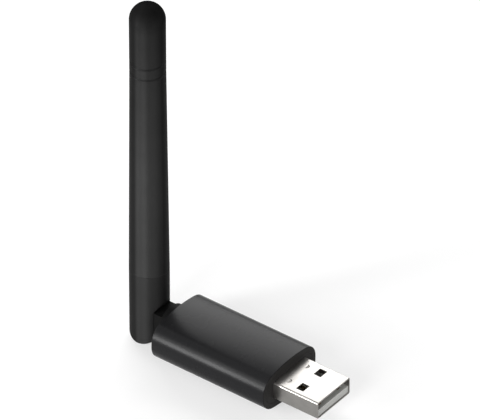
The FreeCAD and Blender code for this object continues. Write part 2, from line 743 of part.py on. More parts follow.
def heel_outline(y):
    """Side view of the barrel's envelope: a half circle about the fold axis under a rectangle."""
    top = BASE_TOP + OVER
    points = [vec(FOLD_X + HEEL_R, y, 0), vec(FOLD_X + HEEL_R, y, top), vec(FOLD_X - HEEL_R, y, top),
              vec(FOLD_X - HEEL_R, y, 0)]
    arc = Part.Arc(points[-1], vec(FOLD_X, y, -HEEL_R), points[0]).toShape()
    return Part.Face(Part.Wire(Part.makePolygon(points).Edges + [arc]))


def antenna_base():
    """Lower barrel: heel rounded about the fold axis, slot for the tongue, neck for the radome."""
    barrel = bar_z(BARREL_R, -HEEL_R - OVER, BASE_TOP, FOLD_X)
    base = barrel.common(heel_outline(-HEEL_R).extrude(vec(0, 2 * HEEL_R, 0)))
    base = base.makeFillet(HEEL_EDGE_R, edges_on(base, lambda p: p.z < -HEEL_R / 4))
    base = base.makeChamfer(SEAM_GROOVE, edges_on(base, lambda p: abs(p.z - BASE_TOP) < SAME))
    neck = bar_z(NECK_R, BASE_TOP - OVER, NECK_TOP, FOLD_X)
    neck = neck.makeChamfer(NECK_CHAMFER, edges_on(neck, lambda p: abs(p.z - NECK_TOP) < SAME))
    edge = FOLD_X + BARREL_R
    deep = edge - RELIEF_DEPTH
    low = SLOT_R - NIP
    high = SLOT_R + RELIEF_RISE
    relief = slab_y([(deep, low), (deep, SLOT_R), (edge, high), (edge + OVER, high), (edge + OVER, low)],
                    -HEEL_R, HEEL_R)
    sockets = bar_y(SOCKET_R, -SOCKET_END, SOCKET_END, FOLD_X)
    bore = bar_z(LEAD_BORE_R, SLOT_R - OVER, NECK_TOP + OVER, FOLD_X)
    seat = bar_z(SLEEVE_R + SLEEVE_FIT, NECK_TOP - SLEEVE_SEAT, NECK_TOP + OVER, FOLD_X)
    base = base.fuse(neck)
    for cutter in (tongue_slot(), relief, sockets, bore, seat):
        base = base.cut(cutter)
    return base


def ring_groove(z):
    """Shallow ring cut round the radome at z."""
    half = RING_GROOVE_W / 2
    inner = RADOME_TIP_R - RING_GROOVE_D
    return turned_z([(inner, z - half / 2), (RADOME_TIP_R + OVER, z - half), (RADOME_TIP_R + OVER, z + half),
                     (inner, z + half / 2)], FOLD_X)


def antenna_radome():
    """Closed tapered tube with a domed tip."""
    def at(r, z):
        return vec(FOLD_X + r, 0, z)

    def on_dome(radius):
        return at(radius * math.sqrt(0.5), DOME_Z + radius * math.sqrt(0.5))

    mouth_r = NECK_R + NECK_FIT
    seat = NECK_TOP + NECK_END_GAP
    outside = [
        at(mouth_r, BASE_TOP), at(BARREL_R - SEAM_GROOVE, BASE_TOP), at(BARREL_R, BASE_TOP + SEAM_GROOVE),
        at(RADOME_TIP_R, TAPER_END), at(RADOME_TIP_R, DOME_Z),
    ]
    inside = [
        at(0, DOME_Z + RADOME_BORE_R), at(RADOME_BORE_R, DOME_Z), at(RADOME_BORE_R, seat),
        at(mouth_r, seat), at(mouth_r, BASE_TOP),
    ]
    dome = Part.Arc(outside[-1], on_dome(RADOME_TIP_R), at(0, RADOME_TOP))
    roof = Part.Arc(inside[0], on_dome(RADOME_BORE_R), inside[1])
    edges = Part.makePolygon(outside).Edges + [dome.toShape()]
    edges += [Part.LineSegment(at(0, RADOME_TOP), inside[0]).toShape(), roof.toShape()]
    edges += Part.makePolygon(inside[1:]).Edges
    tube = Part.Face(Part.Wire(edges)).revolve(at(0, 0), vec(0, 0, 1), 360)
    return tube.cut([ring_groove(TAPER_END + step) for step in RING_GROOVES])


def dipole_sleeve():
    """Tube round the lead, closed on to it at its top."""
    low = NECK_TOP - SLEEVE_SEAT
    hole = COAX_R + COAX_GAP
    return turned_z([
        (SLEEVE_R - SLEEVE_T, low), (SLEEVE_R, low), (SLEEVE_R, SLEEVE_TOP), (hole, SLEEVE_TOP),
        (hole, SLEEVE_TOP - SLEEVE_T), (SLEEVE_R - SLEEVE_T, SLEEVE_TOP - SLEEVE_T),
    ], FOLD_X)


def antenna_whip():
    return bar_z(WHIP_R, SLEEVE_TOP, SLEEVE_TOP + WHIP_LEN, FOLD_X)


def whip_spacer():
    """Disc that centres the whip's top in the radome."""
    z = SLEEVE_TOP + WHIP_LEN - SPACER_FROM_TIP
    hole = WHIP_R + SPACER_HOLE_GAP
    rim = RADOME_BORE_R - SPACER_FIT
    return turned_z([
        (hole, z), (SPACER_HUB_R, z), (SPACER_HUB_R, z + SPACER_HUB_LEN - SPACER_T),
        (rim, z + SPACER_HUB_LEN - SPACER_T), (rim, z + SPACER_HUB_LEN), (hole, z + SPACER_HUB_LEN),
    ], FOLD_X)


def nodes():
    made = {
        "housing_sleeve": housing_sleeve(),
        "front_cap": front_cap(),
        "usb_shell": usb_shell(),
        "usb_insulator": usb_insulator(),
        "circuit_board": circuit_board(),
        "bridge_chip": bridge_chip(),
        "voltage_regulator": voltage_regulator(),
        "radio_chip": radio_chip(),
        "radio_crystal": radio_crystal(),
        "shield_can": shield_can(),
        "chip_capacitors": chip_row(CAPACITOR, FRONT_CAPACITORS, REAR_CAPACITORS),
        "chip_resistors": chip_row(RESISTOR, FRONT_RESISTORS, REAR_RESISTORS),
        "coax_socket": coax_socket(),
        "coax_plug": coax_plug(),
        "coax_lead": coax_lead(),
        "antenna_lead": on_swivel(antenna_lead()),
        "swivel_collar": on_swivel(swivel_collar()),
        "spring_washer": on_swivel(spring_washer()),
        "retaining_clip": on_swivel(retaining_clip()),
        "antenna_base": on_swivel(antenna_base()),
        "antenna_radome": on_swivel(antenna_radome()),
        "dipole_sleeve": on_swivel(dipole_sleeve()),
        "antenna_whip": on_swivel(antenna_whip()),
        "whip_spacer": on_swivel(whip_spacer()),
    }
    for name, (y, back) in CONTACTS.items():
        made[name] = usb_contact(y, back)
    return made


def main():
    os.makedirs("parts", exist_ok=True)
    for name, shape in nodes().items():
        shape.exportStep("parts/" + name + ".step")
        facts = (name, len(shape.Solids), shape.Volume, shape.isValid())
        print("%-24s solids %d  volume %9.3f mm3  valid %s" % facts)


main()
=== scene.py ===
"""Looks for a USB radio stick with a folding antenna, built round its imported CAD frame."""

import math

import bmesh
import bpy
from bpy.props import FloatProperty, FloatVectorProperty, IntProperty, PointerProperty
from mathutils import Matrix, Vector


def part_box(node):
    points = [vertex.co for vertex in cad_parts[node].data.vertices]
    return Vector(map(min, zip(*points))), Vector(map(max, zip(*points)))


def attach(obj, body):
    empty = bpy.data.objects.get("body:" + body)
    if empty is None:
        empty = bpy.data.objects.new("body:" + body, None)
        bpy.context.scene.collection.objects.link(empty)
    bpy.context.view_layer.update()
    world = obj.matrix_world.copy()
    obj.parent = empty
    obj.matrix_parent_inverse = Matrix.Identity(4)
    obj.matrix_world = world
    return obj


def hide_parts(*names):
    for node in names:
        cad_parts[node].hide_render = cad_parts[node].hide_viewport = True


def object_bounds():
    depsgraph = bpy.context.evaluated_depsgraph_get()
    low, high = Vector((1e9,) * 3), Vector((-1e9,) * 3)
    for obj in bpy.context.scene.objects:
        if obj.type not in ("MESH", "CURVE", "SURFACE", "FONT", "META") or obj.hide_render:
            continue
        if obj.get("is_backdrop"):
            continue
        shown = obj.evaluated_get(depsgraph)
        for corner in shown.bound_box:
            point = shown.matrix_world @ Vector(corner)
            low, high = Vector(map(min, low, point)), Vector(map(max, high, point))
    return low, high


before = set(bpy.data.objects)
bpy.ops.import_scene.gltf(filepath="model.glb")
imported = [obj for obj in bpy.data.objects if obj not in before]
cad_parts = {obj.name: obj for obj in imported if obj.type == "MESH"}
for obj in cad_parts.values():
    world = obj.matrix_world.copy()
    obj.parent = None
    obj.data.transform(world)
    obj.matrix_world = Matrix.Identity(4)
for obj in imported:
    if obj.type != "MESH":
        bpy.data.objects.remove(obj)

bl_info = {
    "name": "USB radio stick",
    "version": (1, 0, 0),
    "blender": (4, 5, 0),
    "location": "3D View > Sidebar > Radio stick",
    "description": "Builds the housing, plug, folding antenna and studio of a USB radio stick",
    "category": "Object",
}

MM = 0.001

# Camera that took the photograph, worked out from the plug, the housing and the antenna
CAMERA_AZIMUTH = 0.652557
CAMERA_ELEVATION = 0.646721
CAMERA_DISTANCE = 1.96962
CAMERA_FOCUS_PX = 8863.55
CAMERA_SIDE = 0.0207867
CAMERA_LIFT = -0.0418433
CAMERA_TARGET_X = 0.01225
IMAGE_WIDTH_PX = 480

# Any sensor width gives the same view, and the clip distances only have to enclose the scene
SENSOR_WIDTH_MM = 36
CAMERA_NEAR = 0.1
CAMERA_FAR = 20

# Studio: half the floor's side, how strongly it glows where it is seen or mirrored, the point that all lamps
# face, and their distance from it
FLOOR_REACH = 3.0
FLOOR_LIFT = 0.48
LAMP_CENTRE = Vector((-15, 0, 20)) * MM
LAMP_DISTANCE = 0.9

# Angles between faces that still count as flat, that show as a crease, and that are an edge to round
FLAT_ANGLE = math.radians(0.3)
CREASE_ANGLE = math.radians(32)
EDGE_ANGLE = math.radians(35)
EDGE_STEPS = 3

# How well a face has to look in a direction, at a flat end and on a round wall, where 1 is exactly
FLAT_FACING = 0.99
ROUND_FACING = 0.97

# Distances under which points are one, in a CAD mesh and in the tube, or lie on a surface or on a level
CAD_WELD = 0.0005 * MM
TUBE_WELD = 0.002 * MM
ON_SURFACE = 0.01 * MM
ON_LEVEL = 0.0001 * MM

# Rows of faces along the antenna tube's taper, its grooved zone, its plain walls and the whole ball of a dome
TAPER_ROWS = 12
GROOVED_ROWS = 75
PLAIN_ROWS = 6
BALL_ROWS = 48

# Parts of a ring groove's width: from its middle to its rim, and each of its sloping sides
GROOVE_HALF = 0.5
GROOVE_SLOPE = 0.25

# Plastics: refractive index, size in grains of the patches of one sheen, and how far the sheen runs
PLASTIC_IOR = 1.5
COOLING_PATCH = 18
COOLING_SPREAD = 0.05

# Metals: spacing of the lines that rolls and dies leave, drawn at about twice the real one, how many such
# spacings a line is long and a patch of haze is wide, and how deep the lines are on the plug and inside
METAL_LINES = 0.06 * MM
LINE_STRETCH = 25
HAZE_PATCH = 30
PLUG_DEPTH = 0.0002 * MM
INNER_DEPTH = 0.0003 * MM

# Middle range of a noise, where most of its values lie
NOISE_LOW = 0.3
NOISE_HIGH = 0.7

# Antenna's sheen: how far under the tip it begins to fall and the share that is left, for a slow fall and a
# quick one, and how far under the tip both end
TIP_FADES = ((45 * MM, 0.35), (6 * MM, 0.1))
TIP_FADE_END = 1 * MM

# Pitch of the board's square pattern of traces
TRACE_PITCH = 1.1 * MM

# CAD nodes that share a material
GOLD_NODES = ("coax_socket", "coax_plug")
SPRING_NODES = ("spring_washer", "retaining_clip")
CHIP_NODES = ("bridge_chip", "voltage_regulator", "radio_chip")
LEAD_NODES = ("coax_lead", "antenna_lead")
BRASS_NODES = ("dipole_sleeve", "antenna_whip")
CONTACT_NODES = ("usb_contact_power", "usb_contact_data_minus", "usb_contact_data_plus", "usb_contact_ground")


def linear(hex_colour):
    """sRGB hex value to linear RGB."""
    channels = [int(hex_colour[i:i + 2], 16) / 255 for i in (0, 2, 4)]
    return [c / 12.92 if c <= 0.04045 else ((c + 0.055) / 1.055) ** 2.4 for c in channels]


def length_property(name, description, millimetres):
    return FloatProperty(name=name, description=description, default=millimetres * MM, min=0.0,
                         unit="LENGTH", precision=5)


def colour_property(name, description, hex_colour):
    return FloatVectorProperty(name=name, description=description, default=linear(hex_colour),
                               min=0.0, max=1.0, subtype="COLOR", size=3)


class StickSizes(bpy.types.PropertyGroup):
    edge_break: length_property("Moulded edge", "Radius on the sharp edges of moulded pieces", 0.08)
    sheet_edge: length_property("Sheet edge", "Radius on the cut edges of the plug's sheet metal", 0.04)
    tip_radius: length_property("Tip radius", "Radius of the antenna tube's straight part and dome", 4.1)
    straight_length: length_property("Straight length", "Height of the tube's straight part", 14.2)
    tube_wall: length_property("Tube wall", "Wall of the tube's straight part", 1.0)
    mouth_radius: length_property("Mouth radius", "Radius of the tube's mouth", 3.38)
    mouth_depth: length_property("Mouth depth", "Depth of the tube's mouth, up to its seat", 6.05)
    seam_break: length_property("Seam edge", "Chamfer where the tube meets the antenna's base", 0.06)
    first_ring: length_property("First ring", "Height of the lower ring groove over the taper's end", 0.4)
    second_ring: length_property("Second ring", "Height of the upper ring groove over the taper's end", 3.25)
    ring_width: length_property("Ring width", "Width of a ring groove at the surface", 0.65)
    ring_depth: length_property("Ring depth", "Depth of a ring groove", 0.36)
    housing_grain: length_property("Housing grain", "Spacing of the housing's eroded texture", 0.25)
    antenna_grain: length_property("Antenna grain", "Spacing of the antenna's matte texture", 0.3)
    tube_sides: IntProperty(name="Tube sides", description="Faces round the antenna tube", default=96, min=16)


class StickColours(bpy.types.PropertyGroup):
    housing: colour_property("Housing", "Moulded housing", "1b1b1c")
    cap: colour_property("Front face", "Moulded cap and front edge round the plug", "2c2b2a")
    antenna: colour_property("Antenna", "Antenna tube and base", "141414")
    collar: colour_property("Collar", "Swivel collar", "131313")
    plating: colour_property("Plating", "Plated plug shell", "8d8b88")
    insulator: colour_property("Insulator", "Plastic tongue in the plug", "c4c4c0")


def sizes():
    return bpy.context.scene.stick_sizes


def colours():
    return bpy.context.scene.stick_colours


def add_node(tree, kind, settings=None, inputs=None):
    """Adds a node, sets its properties, then sets or links its inputs by name or number."""
    node = tree.nodes.new(kind)
    for key, value in (settings or {}).items():
        setattr(node, key, value)
    for key, value in (inputs or {}).items():
        if isinstance(value, bpy.types.NodeSocket):
            tree.links.new(value, node.inputs[key])
        else:
            node.inputs[key].default_value = value
    return node


def new_material(name, colour, metallic=0.0, roughness=0.5):
    """Material with a Principled shader; returns it with its tree and the shader."""
    material = bpy.data.materials.new(name)
    material.use_nodes = True
    tree = material.node_tree
    tree.nodes.clear()
    shader = add_node(tree, "ShaderNodeBsdfPrincipled", inputs={
        "Base Color": (*colour, 1), "Metallic": metallic, "Roughness": roughness})
    add_node(tree, "ShaderNodeOutputMaterial", inputs={"Surface": shader.outputs[0]})
    return material, tree, shader


def noise(tree, spacing, stretch=(1, 1, 1), detail=3.0):
    """Noise in object space with a given spacing in metres, longer along stretched axes."""
    place = add_node(tree, "ShaderNodeTexCoord")
    scaled = add_node(tree, "ShaderNodeMapping", inputs={
        "Vector": place.outputs["Object"], "Scale": [1 / (spacing * s) for s in stretch]})
    return add_node(tree, "ShaderNodeTexNoise", inputs={
        "Vector": scaled.outputs[0], "Scale": 1.0, "Detail": detail}).outputs["Fac"]


def vary_colour(tree, shader, factor, colour, spread):
    """Base colour that runs a little darker and lighter with the factor."""
    darker = [c * (1 - spread) for c in colour] + [1]
    lighter = [c * (1 + spread) for c in colour] + [1]
    mix = add_node(tree, "ShaderNodeMix", {"data_type": "RGBA"}, {0: factor, 6: darker, 7: lighter})
    tree.links.new(mix.outputs[2], shader.inputs["Base Color"])


def vary_roughness(tree, shader, factor, roughness, spread):
    """Roughness that runs a little lower and higher over the middle range of the factor."""
    spread_out = add_node(tree, "ShaderNodeMapRange", inputs={
        "Value": factor, "From Min": NOISE_LOW, "From Max": NOISE_HIGH,
        "To Min": roughness - spread, "To Max": roughness + spread})
    tree.links.new(spread_out.outputs[0], shader.inputs["Roughness"])


def add_relief(tree, shader, height, depth):
    """Fine relief of a given depth in metres where the height runs from 0 to 1."""
    bump = add_node(tree, "ShaderNodeBump", inputs={"Height": height, "Distance": depth})
    tree.links.new(bump.outputs[0], shader.inputs["Normal"])


def moulded(name, colour, roughness, gloss, grain, depth, spread=0.06):
    """Moulded plastic: grain copied from the tool's surface, and a broad change of sheen where it cooled."""
    material, tree, shader = new_material(name, colour)
    fine = noise(tree, grain)
    cooling = noise(tree, COOLING_PATCH * grain, detail=2.0)
    vary_colour(tree, shader, fine, colour, spread)
    vary_roughness(tree, shader, cooling, roughness, spread=COOLING_SPREAD * roughness)
    add_relief(tree, shader, fine, depth)
    shader.inputs["IOR"].default_value = PLASTIC_IOR
    shader.inputs["Specular IOR Level"].default_value = gloss
    return material


def sheet_metal(name, colour, roughness, depth):
    """Rolled or drawn metal: faint lines along X and patches of handling haze."""
    material, tree, shader = new_material(name, colour, metallic=1.0)
    lines = noise(tree, METAL_LINES, stretch=(LINE_STRETCH, 1, 1), detail=2.0)
    haze = noise(tree, HAZE_PATCH * METAL_LINES, detail=4.0)
    vary_colour(tree, shader, haze, colour, spread=0.03)
    vary_roughness(tree, shader, haze, roughness, spread=0.05)
    add_relief(tree, shader, lines, depth)
    return material


def antenna_plastic(name, axis_x, tip_z, sheen):
    """Thermoplastic elastomer: sandy, with one soft streak along it, and duller towards the tip.

    The sandy grain is drawn about twice its real size, so that it shows.
    """
    material = moulded(name, colours().antenna, roughness=0.6, gloss=0.2, grain=sizes().antenna_grain,
                       depth=0.035 * MM, spread=0.25)
    tree, shader = material.node_tree, material.node_tree.nodes["Principled BSDF"]
    place = add_node(tree, "ShaderNodeTexCoord").outputs["Object"]

    # The sheen's direction runs round the axis, which draws the highlight out into a streak
    from_axis = add_node(tree, "ShaderNodeMapping", inputs={"Vector": place, "Location": (-axis_x, 0, 0)})
    around = add_node(tree, "ShaderNodeVectorMath", {"operation": "CROSS_PRODUCT"},
                      {0: (0, 0, 1), 1: from_axis.outputs[0]})
    in_world = add_node(tree, "ShaderNodeVectorTransform", {
        "vector_type": "VECTOR", "convert_from": "OBJECT", "convert_to": "WORLD"}, {0: around.outputs[0]})
    tree.links.new(in_world.outputs[0], shader.inputs["Tangent"])
    shader.inputs["Anisotropic"].default_value = 0.85
    shader.inputs["Anisotropic Rotation"].default_value = 0.25

    # A sandy surface loses its sheen where it turns away
    turned_away = add_node(tree, "ShaderNodeLayerWeight", inputs={"Blend": 0.5}).outputs["Facing"]
    level = add_node(tree, "ShaderNodeMapRange", inputs={
        "Value": turned_away, "From Min": 0.2, "From Max": 0.45, "To Min": sheen, "To Max": 0.06}).outputs[0]

    # It also falls slowly up the tube, and quickly over the dome
    height = add_node(tree, "ShaderNodeSeparateXYZ", inputs={0: place}).outputs["Z"]
    for reach, least in TIP_FADES:
        dulling = add_node(tree, "ShaderNodeMapRange", inputs={
            "Value": height, "From Min": tip_z - reach, "From Max": tip_z - TIP_FADE_END,
            "To Min": 1.0, "To Max": least}).outputs[0]
        level = add_node(tree, "ShaderNodeMath", {"operation": "MULTIPLY"}, {0: level, 1: dulling}).outputs[0]
    tree.links.new(level, shader.inputs["Specular IOR Level"])
    return material


def board_laminate():
    """Glass-epoxy board under green mask: raised traces in a square pattern show as a lighter green."""
    green = linear("0f4a2a")
    material, tree, shader = new_material("glass_epoxy_green_mask", green, roughness=0.35)
    place = add_node(tree, "ShaderNodeTexCoord")
    cells = add_node(tree, "ShaderNodeTexVoronoi", {"distance": "MANHATTAN", "feature": "F2"}, {
        "Vector": place.outputs["Object"], "Scale": 1 / TRACE_PITCH, "Randomness": 0.7})
    traces = add_node(tree, "ShaderNodeMapRange", inputs={
        "Value": cells.outputs["Distance"], "From Min": 0.75, "From Max": 0.8})
    vary_colour(tree, shader, traces.outputs[0], green, spread=0.35)
    add_relief(tree, shader, traces.outputs[0], depth=0.03 * MM)
    return material


def copied_mesh(node):
    """The CAD node's mesh with its loose triangles joined and its flat faces in one piece."""
    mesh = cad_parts[node].data.copy()
    shape = bmesh.new()
    shape.from_mesh(mesh)
    bmesh.ops.remove_doubles(shape, verts=shape.verts, dist=CAD_WELD)
    bmesh.ops.dissolve_limit(shape, angle_limit=FLAT_ANGLE, verts=shape.verts, edges=shape.edges)
    shape.to_mesh(mesh)
    shape.free()
    mesh.materials.clear()
    return mesh


def new_piece(name, mesh):
    piece = bpy.data.objects.new(name, mesh)
    bpy.context.scene.collection.objects.link(piece)
    return piece


def apply_modifiers(piece):
    """Replaces the piece's mesh by what its modifiers make of it."""
    graph = bpy.context.evaluated_depsgraph_get()
    mesh = bpy.data.meshes.new_from_object(piece.evaluated_get(graph))
    piece.modifiers.clear()
    piece.data = mesh
    mesh.name = piece.name


def smooth(piece):
    """Shades curves smooth and leaves creases sharp."""
    piece.data.shade_smooth()
    piece.data.set_sharp_from_angle(angle=CREASE_ANGLE)


def finish_piece(piece, body, slot, *nodes):
    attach(piece, body)
    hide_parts(*nodes)


def softened_copy(node, name, material, body, slot, edge=0.0):
    """Smooth copy of a CAD node. An edge radius rounds its sharp edges, so that they catch the light."""
    piece = new_piece(name, copied_mesh(node))
    piece.data.materials.append(material)
    smooth(piece)
    if edge:
        bevel = piece.modifiers.new("edge", "BEVEL")
        bevel.width = edge
        bevel.segments = EDGE_STEPS
        bevel.limit_method = "ANGLE"
        bevel.angle_limit = EDGE_ANGLE
        bevel.harden_normals = True
        apply_modifiers(piece)
    finish_piece(piece, body, slot, node)
    return piece


def face_finish(piece, direction, material):
    """Gives the flat faces at the piece's end in one direction a material of their own."""
    direction = Vector(direction)
    end = max(vertex.co.dot(direction) for vertex in piece.data.vertices)
    piece.data.materials.append(material)
    for face in piece.data.polygons:
        at_end = face.center.dot(direction) > end - ON_SURFACE
        if at_end and face.normal.dot(direction) > FLAT_FACING:
            face.material_index = 1


def round_normals(piece, axis_x, radius):
    """Exact normals on the piece's upright round wall, where the CAD triangles would show as streaks."""
    mesh = piece.data
    normals = [corner.vector.copy() for corner in mesh.corner_normals]
    for face in mesh.polygons:
        for loop in face.loop_indices:
            spot = mesh.vertices[mesh.loops[loop].vertex_index].co
            outward = Vector((spot.x - axis_x, spot.y, 0))
            on_wall = abs(outward.length - radius) < ON_SURFACE
            if on_wall and face.normal.dot(outward.normalized()) > ROUND_FACING:
                normals[loop] = outward.normalized()
    mesh.normals_split_custom_set(normals)


def coat_node(node, material):
    """Gives a CAD node that keeps its own shape a material."""
    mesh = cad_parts[node].data
    mesh.materials.clear()
    mesh.materials.append(material)


def tube_tree():
    """Antenna tube as nodes: a taper, a straight part with two ring grooves, a dome, and the bore inside."""
    tree = bpy.data.node_groups.new("antenna_tube", "GeometryNodeTree")
    for name in ("Axis X", "Foot", "Foot Radius", "Tip Radius", "Taper Length", "Straight Length", "Wall",
                 "Mouth Radius", "Mouth Depth", "Seam Edge", "First Ring", "Second Ring", "Ring Width",
                 "Ring Depth"):
        tree.interface.new_socket(name=name, in_out="INPUT", socket_type="NodeSocketFloat")
    tree.interface.new_socket(name="Sides", in_out="INPUT", socket_type="NodeSocketInt")
    tree.interface.new_socket(name="Material", in_out="INPUT", socket_type="NodeSocketMaterial")
    tree.interface.new_socket(name="Tube", in_out="OUTPUT", socket_type="NodeSocketGeometry")
    size = {socket.name: socket for socket in add_node(tree, "NodeGroupInput").outputs}

    # Sizes worked out from the given ones, each from two that stand before it or from one and a number
    for name, operation, first, second in (
            ("Foot Rim", "SUBTRACT", "Foot Radius", "Seam Edge"),
            ("Taper Rise", "SUBTRACT", "Taper Length", "Seam Edge"),
            ("Dome Foot", "ADD", "Taper Length", "Straight Length"),
            ("Ring Zone", "ADD", "Second Ring", "Ring Width"),
            ("Zone Top", "ADD", "Taper Length", "Ring Zone"),
            ("Plain Rise", "SUBTRACT", "Dome Foot", "Zone Top"),
            ("Bore", "SUBTRACT", "Tip Radius", "Wall"),
            ("Bore Rise", "SUBTRACT", "Dome Foot", "Mouth Depth"),
            ("Bore Surface", "ADD", "Bore", ON_SURFACE),
            ("Groove Half", "MULTIPLY", "Ring Width", GROOVE_HALF),
            ("Groove Slope", "MULTIPLY", "Ring Width", GROOVE_SLOPE)):
        size[name] = add_node(tree, "ShaderNodeMath", {"operation": operation}, {
            0: size[first], 1: size.get(second, second)}).outputs[0]

    def placed(mesh, height, inward):
        """A wall at its height, with its faces turned over where they look inwards."""
        if inward:
            mesh = add_node(tree, "GeometryNodeFlipFaces", inputs={"Mesh": mesh}).outputs[0]
        shift = add_node(tree, "ShaderNodeCombineXYZ", inputs={"Z": height}).outputs[0]
        return add_node(tree, "GeometryNodeTransform", inputs={
            "Geometry": mesh, "Translation": shift}).outputs[0]

    def wall(low_radius, high_radius, depth, foot, rows=1, inward=False):
        """Round wall, straight or tapered, or a flat ring where it has no depth."""
        cone = add_node(tree, "GeometryNodeMeshCone", {"fill_type": "NONE"}, {
            "Vertices": size["Sides"], "Side Segments": rows, "Radius Bottom": low_radius,
            "Radius Top": high_radius, "Depth": depth})
        return placed(cone.outputs["Mesh"], foot, inward)

    def dome(radius, inward=False):
        """Upper half of a ball, on the straight part's end."""
        ball = add_node(tree, "GeometryNodeMeshUVSphere", inputs={
            "Segments": size["Sides"], "Rings": BALL_ROWS, "Radius": radius}).outputs["Mesh"]
        point = add_node(tree, "GeometryNodeInputPosition").outputs[0]
        level = add_node(tree, "ShaderNodeSeparateXYZ", inputs={0: point}).outputs["Z"]
        below = add_node(tree, "ShaderNodeMath", {"operation": "LESS_THAN"}, {
            0: level, 1: -ON_LEVEL}).outputs[0]
        half = add_node(tree, "GeometryNodeDeleteGeometry", inputs={
            "Geometry": ball, "Selection": below}).outputs[0]
        return placed(half, size["Dome Foot"], inward)

    # Outside, from the seam chamfer at the foot to the dome
    rim, tip = size["Foot Rim"], size["Tip Radius"]
    outside = [
        wall(rim, size["Foot Radius"], depth=size["Seam Edge"], foot=0.0),
        wall(size["Foot Radius"], tip, depth=size["Taper Rise"], foot=size["Seam Edge"], rows=TAPER_ROWS),
        wall(tip, tip, depth=size["Ring Zone"], foot=size["Taper Length"], rows=GROOVED_ROWS),
        wall(tip, tip, depth=size["Plain Rise"], foot=size["Zone Top"], rows=PLAIN_ROWS),
        dome(tip),
    ]

    # Inside: the mouth for the base's neck, its seat, the bore and its round end
    mouth, seat, bore = size["Mouth Radius"], size["Mouth Depth"], size["Bore"]
    inside = [
        wall(mouth, rim, depth=0.0, foot=0.0),
        wall(mouth, mouth, depth=seat, foot=0.0, inward=True),
        wall(bore, mouth, depth=0.0, foot=seat),
        wall(bore, bore, depth=size["Bore Rise"], foot=seat, rows=PLAIN_ROWS, inward=True),
        dome(bore, inward=True),
    ]
    joined = add_node(tree, "GeometryNodeJoinGeometry")
    for part in outside + inside:
        tree.links.new(part, joined.inputs[0])
    closed = add_node(tree, "GeometryNodeMergeByDistance", inputs={
        "Geometry": joined.outputs[0], "Distance": TUBE_WELD}).outputs[0]

    # Each ring groove has its full depth over half its width, and sloping sides
    place = add_node(tree, "GeometryNodeInputPosition").outputs[0]
    height = add_node(tree, "ShaderNodeSeparateXYZ", inputs={0: place}).outputs["Z"]

    def groove(ring):
        """Share of the full depth that a ring groove has at each point's height."""
        middle = add_node(tree, "ShaderNodeMath", {"operation": "ADD"}, {
            0: size["Taper Length"], 1: ring}).outputs[0]
        offset = add_node(tree, "ShaderNodeMath", {"operation": "SUBTRACT"}, {
            0: height, 1: middle}).outputs[0]
        away = add_node(tree, "ShaderNodeMath", {"operation": "ABSOLUTE"}, {0: offset}).outputs[0]
        room = add_node(tree, "ShaderNodeMath", {"operation": "SUBTRACT"}, {
            0: size["Groove Half"], 1: away}).outputs[0]
        return add_node(tree, "ShaderNodeMath", {"operation": "DIVIDE", "use_clamp": True}, {
            0: room, 1: size["Groove Slope"]}).outputs[0]

    # The grooves push the outside in, straight to the axis, and leave the bore as it is
    level = add_node(tree, "ShaderNodeVectorMath", {"operation": "MULTIPLY"}, {
        0: place, 1: (1, 1, 0)}).outputs[0]
    from_axis = add_node(tree, "ShaderNodeVectorMath", {"operation": "LENGTH"}, {0: level}).outputs["Value"]
    outer = add_node(tree, "ShaderNodeMath", {"operation": "GREATER_THAN"}, {
        0: from_axis, 1: size["Bore Surface"]}).outputs[0]
    push = groove(size["First Ring"])
    for operation, term in (("ADD", groove(size["Second Ring"])), ("MULTIPLY", size["Ring Depth"]),
                            ("MULTIPLY", outer), ("MULTIPLY", -1.0)):
        push = add_node(tree, "ShaderNodeMath", {"operation": operation}, {0: push, 1: term}).outputs[0]
    radial = add_node(tree, "ShaderNodeVectorMath", {"operation": "NORMALIZE"}, {0: level}).outputs[0]
    pushed = add_node(tree, "ShaderNodeVectorMath", {"operation": "SCALE"}, {
        0: radial, "Scale": push}).outputs[0]
    grooved = add_node(tree, "GeometryNodeSetPosition", inputs={
        "Geometry": closed, "Offset": pushed}).outputs[0]

    origin = add_node(tree, "ShaderNodeCombineXYZ", inputs={
        "X": size["Axis X"], "Z": size["Foot"]}).outputs[0]
    tube = add_node(tree, "GeometryNodeTransform", inputs={
        "Geometry": grooved, "Translation": origin}).outputs[0]
    real = add_node(tree, "GeometryNodeRealizeInstances", inputs={"Geometry": tube}).outputs[0]
    coated = add_node(tree, "GeometryNodeSetMaterial", inputs={
        "Geometry": real, "Material": size["Material"]}).outputs[0]
    add_node(tree, "NodeGroupOutput", inputs={0: coated})
    return tree


def build_tube(material):
    """Antenna tube from its node tree, fitted to the CAD tube's box."""
    size = sizes()
    low, high = [Vector(corner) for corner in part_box("antenna_radome")]
    values = {
        "Axis X": (low.x + high.x) / 2,
        "Foot": low.z,
        "Foot Radius": (high.y - low.y) / 2,
        "Tip Radius": size.tip_radius,
        "Taper Length": high.z - low.z - size.straight_length - size.tip_radius,
        "Straight Length": size.straight_length,
        "Wall": size.tube_wall,
        "Mouth Radius": size.mouth_radius,
        "Mouth Depth": size.mouth_depth,
        "Seam Edge": size.seam_break,
        "First Ring": size.first_ring,
        "Second Ring": size.second_ring,
        "Ring Width": size.ring_width,
        "Ring Depth": size.ring_depth,
        "Sides": size.tube_sides,
        "Material": material,
    }
    piece = new_piece("antenna_tube", bpy.data.meshes.new("antenna_tube"))
    tube = piece.modifiers.new("tube", "NODES")
    tube.node_group = tube_tree()
    for item in tube.node_group.interface.items_tree:
        if item.in_out == "INPUT":
            tube[item.identifier] = values[item.name]
    apply_modifiers(piece)
    smooth(piece)
    finish_piece(piece, "antenna", "antenna_radome_plastic", "antenna_radome")


